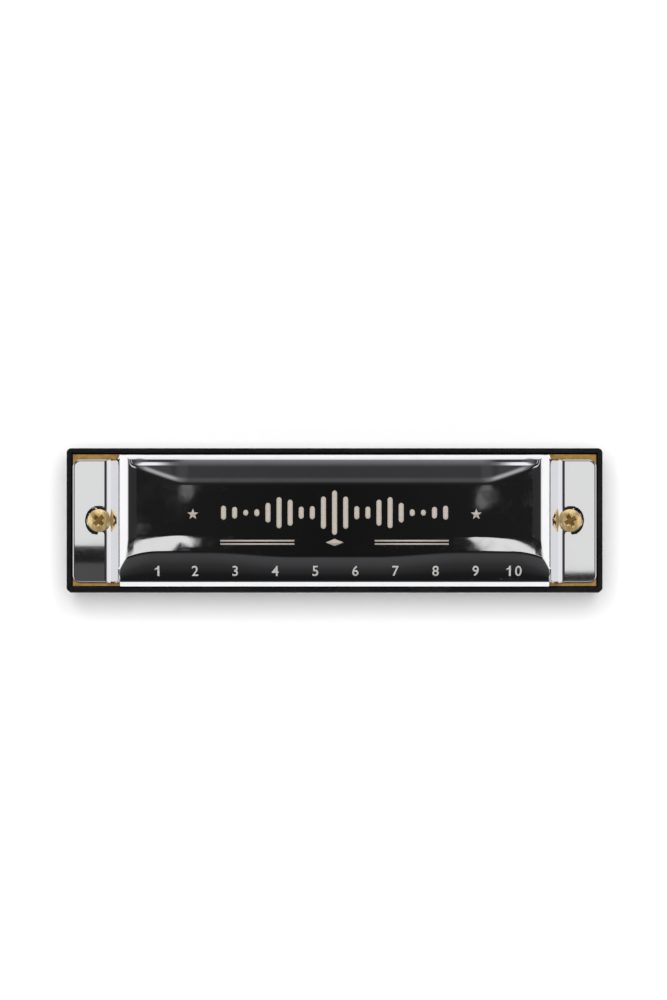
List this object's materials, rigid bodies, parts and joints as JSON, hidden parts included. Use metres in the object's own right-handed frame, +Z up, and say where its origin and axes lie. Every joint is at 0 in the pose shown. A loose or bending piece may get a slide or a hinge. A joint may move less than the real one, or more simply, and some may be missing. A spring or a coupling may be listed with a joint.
{
  "type": "harmonica",
  "caption": "Diatonic harmonica with a black plastic comb, recessed brass reed plates, free reeds that flex, and two pressed chrome covers.",
  "frame": {"origin": "centre of the footprint, on the flat top of the lower cover that it lies on", "axes": "+X along the instrument from hole 1 to hole 10, +Y to the rear, away from the player's mouth, +Z up"},
  "size_m": [0.1018, 0.0274, 0.02],
  "materials": {
    "black_plastic": "semi-gloss moulded",
    "plate_brass": "rolled sheet, lightly tarnished",
    "reed_brass": "ground and filed",
    "chrome": "polished plating on pressed sheet",
    "screw_brass": "bright turned",
    "nickel": "plated"
  },
  "bodies": {
    "instrument": {"comb": "black_plastic", "upper_reed_plate": "plate_brass", "lower_reed_plate": "plate_brass", "upper_cover": "chrome", "lower_cover": "chrome", "cover_screw_left": "screw_brass", "cover_screw_right": "screw_brass", "cover_nut_left": "screw_brass", "cover_nut_right": "screw_brass", "reed_plate_screw_1": "nickel", "reed_plate_screw_2": "nickel", "reed_plate_screw_3": "nickel", "reed_plate_screw_4": "nickel", "reed_plate_screw_5": "nickel", "blow_rivet_01": "reed_brass", "blow_rivet_02": "reed_brass", "blow_rivet_03": "reed_brass", "blow_rivet_04": "reed_brass", "blow_rivet_05": "reed_brass", "blow_rivet_06": "reed_brass", "blow_rivet_07": "reed_brass", "blow_rivet_08": "reed_brass", "blow_rivet_09": "reed_brass", "blow_rivet_10": "reed_brass", "draw_rivet_01": "reed_brass", "draw_rivet_02": "reed_brass", "draw_rivet_03": "reed_brass", "draw_rivet_04": "reed_brass", "draw_rivet_05": "reed_brass", "draw_rivet_06": "reed_brass", "draw_rivet_07": "reed_brass", "draw_rivet_08": "reed_brass", "draw_rivet_09": "reed_brass", "draw_rivet_10": "reed_brass"},
    "blow_reed_01": {"blow_reed_01": "reed_brass"},
    "blow_reed_02": {"blow_reed_02": "reed_brass"},
    "blow_reed_03": {"blow_reed_03": "reed_brass"},
    "blow_reed_04": {"blow_reed_04": "reed_brass"},
    "blow_reed_05": {"blow_reed_05": "reed_brass"},
    "blow_reed_06": {"blow_reed_06": "reed_brass"},
    "blow_reed_07": {"blow_reed_07": "reed_brass"},
    "blow_reed_08": {"blow_reed_08": "reed_brass"},
    "blow_reed_09": {"blow_reed_09": "reed_brass"},
    "blow_reed_10": {"blow_reed_10": "reed_brass"},
    "draw_reed_01": {"draw_reed_01": "reed_brass"},
    "draw_reed_02": {"draw_reed_02": "reed_brass"},
    "draw_reed_03": {"draw_reed_03": "reed_brass"},
    "draw_reed_04": {"draw_reed_04": "reed_brass"},
    "draw_reed_05": {"draw_reed_05": "reed_brass"},
    "draw_reed_06": {"draw_reed_06": "reed_brass"},
    "draw_reed_07": {"draw_reed_07": "reed_brass"},
    "draw_reed_08": {"draw_reed_08": "reed_brass"},
    "draw_reed_09": {"draw_reed_09": "reed_brass"},
    "draw_reed_10": {"draw_reed_10": "reed_brass"}
  },
  "joints": [
    {"name": "blow_reed_01_flex", "type": "hinge", "parent": "instrument", "child": "blow_reed_01", "pos_m": [-0.03375, 0.0046, 0.01305], "axis": [1, 0, 0], "range_deg": [-4.1, 4.1], "stiffness_Nm_per_rad": 0.0286},
    {"name": "blow_reed_02_flex", "type": "hinge", "parent": "instrument", "child": "blow_reed_02", "pos_m": [-0.02625, 0.00393, 0.01305], "axis": [1, 0, 0], "range_deg": [-4.1, 4.1], "stiffness_Nm_per_rad": 0.03},
    {"name": "blow_reed_03_flex", "type": "hinge", "parent": "instrument", "child": "blow_reed_03", "pos_m": [-0.01875, 0.00327, 0.01305], "axis": [1, 0, 0], "range_deg": [-4, 4], "stiffness_Nm_per_rad": 0.0316},
    {"name": "blow_reed_04_flex", "type": "hinge", "parent": "instrument", "child": "blow_reed_04", "pos_m": [-0.01125, 0.0026, 0.01305], "axis": [1, 0, 0], "range_deg": [-4, 4], "stiffness_Nm_per_rad": 0.0333},
    {"name": "blow_reed_05_flex", "type": "hinge", "parent": "instrument", "child": "blow_reed_05", "pos_m": [-0.00375, 0.00193, 0.01305], "axis": [1, 0, 0], "range_deg": [-3.9, 3.9], "stiffness_Nm_per_rad": 0.0353},
    {"name": "blow_reed_06_flex", "type": "hinge", "parent": "instrument", "child": "blow_reed_06", "pos_m": [0.00375, 0.00127, 0.01305], "axis": [1, 0, 0], "range_deg": [-3.9, 3.9], "stiffness_Nm_per_rad": 0.0375},
    {"name": "blow_reed_07_flex", "type": "hinge", "parent": "instrument", "child": "blow_reed_07", "pos_m": [0.01125, 0.0006, 0.01305], "axis": [1, 0, 0], "range_deg": [-3.8, 3.8], "stiffness_Nm_per_rad": 0.04},
    {"name": "blow_reed_08_flex", "type": "hinge", "parent": "instrument", "child": "blow_reed_08", "pos_m": [0.01875, -0.00007, 0.01305], "axis": [1, 0, 0], "range_deg": [-3.8, 3.8], "stiffness_Nm_per_rad": 0.0429},
    {"name": "blow_reed_09_flex", "type": "hinge", "parent": "instrument", "child": "blow_reed_09", "pos_m": [0.02625, -0.00073, 0.01305], "axis": [1, 0, 0], "range_deg": [-3.7, 3.7], "stiffness_Nm_per_rad": 0.0462},
    {"name": "blow_reed_10_flex", "type": "hinge", "parent": "instrument", "child": "blow_reed_10", "pos_m": [0.03375, -0.0014, 0.01305], "axis": [1, 0, 0], "range_deg": [-3.6, 3.6], "stiffness_Nm_per_rad": 0.05},
    {"name": "draw_reed_01_flex", "type": "hinge", "parent": "instrument", "child": "draw_reed_01", "pos_m": [-0.03375, -0.0075, 0.00535], "axis": [1, 0, 0], "range_deg": [-4.1, 4.1], "stiffness_Nm_per_rad": 0.0286},
    {"name": "draw_reed_02_flex", "type": "hinge", "parent": "instrument", "child": "draw_reed_02", "pos_m": [-0.02625, -0.0075, 0.00535], "axis": [1, 0, 0], "range_deg": [-4.1, 4.1], "stiffness_Nm_per_rad": 0.03},
    {"name": "draw_reed_03_flex", "type": "hinge", "parent": "instrument", "child": "draw_reed_03", "pos_m": [-0.01875, -0.0075, 0.00535], "axis": [1, 0, 0], "range_deg": [-4, 4], "stiffness_Nm_per_rad": 0.0316},
    {"name": "draw_reed_04_flex", "type": "hinge", "parent": "instrument", "child": "draw_reed_04", "pos_m": [-0.01125, -0.0075, 0.00535], "axis": [1, 0, 0], "range_deg": [-4, 4], "stiffness_Nm_per_rad": 0.0333},
    {"name": "draw_reed_05_flex", "type": "hinge", "parent": "instrument", "child": "draw_reed_05", "pos_m": [-0.00375, -0.0075, 0.00535], "axis": [1, 0, 0], "range_deg": [-3.9, 3.9], "stiffness_Nm_per_rad": 0.0353},
    {"name": "draw_reed_06_flex", "type": "hinge", "parent": "instrument", "child": "draw_reed_06", "pos_m": [0.00375, -0.0075, 0.00535], "axis": [1, 0, 0], "range_deg": [-3.9, 3.9], "stiffness_Nm_per_rad": 0.0375},
    {"name": "draw_reed_07_flex", "type": "hinge", "parent": "instrument", "child": "draw_reed_07", "pos_m": [0.01125, -0.0075, 0.00535], "axis": [1, 0, 0], "range_deg": [-3.8, 3.8], "stiffness_Nm_per_rad": 0.04},
    {"name": "draw_reed_08_flex", "type": "hinge", "parent": "instrument", "child": "draw_reed_08", "pos_m": [0.01875, -0.0075, 0.00535], "axis": [1, 0, 0], "range_deg": [-3.8, 3.8], "stiffness_Nm_per_rad": 0.0429},
    {"name": "draw_reed_09_flex", "type": "hinge", "parent": "instrument", "child": "draw_reed_09", "pos_m": [0.02625, -0.0075, 0.00535], "axis": [1, 0, 0], "range_deg": [-3.7, 3.7], "stiffness_Nm_per_rad": 0.0462},
    {"name": "draw_reed_10_flex", "type": "hinge", "parent": "instrument", "child": "draw_reed_10", "pos_m": [0.03375, -0.0075, 0.00535], "axis": [1, 0, 0], "range_deg": [-3.6, 3.6], "stiffness_Nm_per_rad": 0.05}
  ]
}
